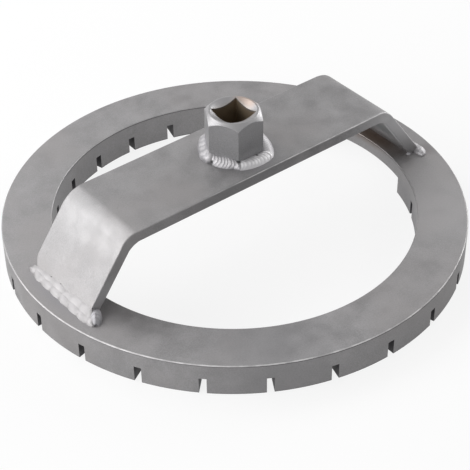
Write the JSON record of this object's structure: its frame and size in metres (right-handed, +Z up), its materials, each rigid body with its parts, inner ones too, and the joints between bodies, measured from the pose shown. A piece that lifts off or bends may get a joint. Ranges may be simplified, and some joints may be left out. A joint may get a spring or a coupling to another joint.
{
  "type": "fuel pump lock ring wrench",
  "caption": "Slotted flat ring with a bent bar bridge welded across it and a hexagonal boss with a square drive, for turning a tank lock ring.",
  "frame": {"origin": "centre of the ring's bottom face, on the axis that the ring, the bridge and the drive boss share", "axes": "+Z up along the ring's axis towards the drive boss, +X along the bridge towards its right foot, above the wide relief in the ring"},
  "size_m": [0.194, 0.194, 0.0623],
  "materials": {
    "ring_steel": "blasted and zinc plated, satin",
    "bridge_steel": "blasted and zinc plated, satin",
    "boss_steel": "turned, satin",
    "weld_bead": "bright weld metal"
  },
  "bodies": {
    "root": {"boss_weld_back": "weld_bead", "boss_weld_front": "weld_bead", "boss_weld_left_back": "weld_bead", "boss_weld_left_front": "weld_bead", "boss_weld_right_back": "weld_bead", "boss_weld_right_front": "weld_bead", "bridge_strap": "bridge_steel", "drive_boss": "boss_steel", "left_weld_lower": "weld_bead", "left_weld_return": "weld_bead", "left_weld_upper": "weld_bead", "right_tack": "weld_bead", "right_weld_lower": "weld_bead", "right_weld_return": "weld_bead", "right_weld_upper": "weld_bead", "slotted_ring": "ring_steel"}
  },
  "joints": []
}
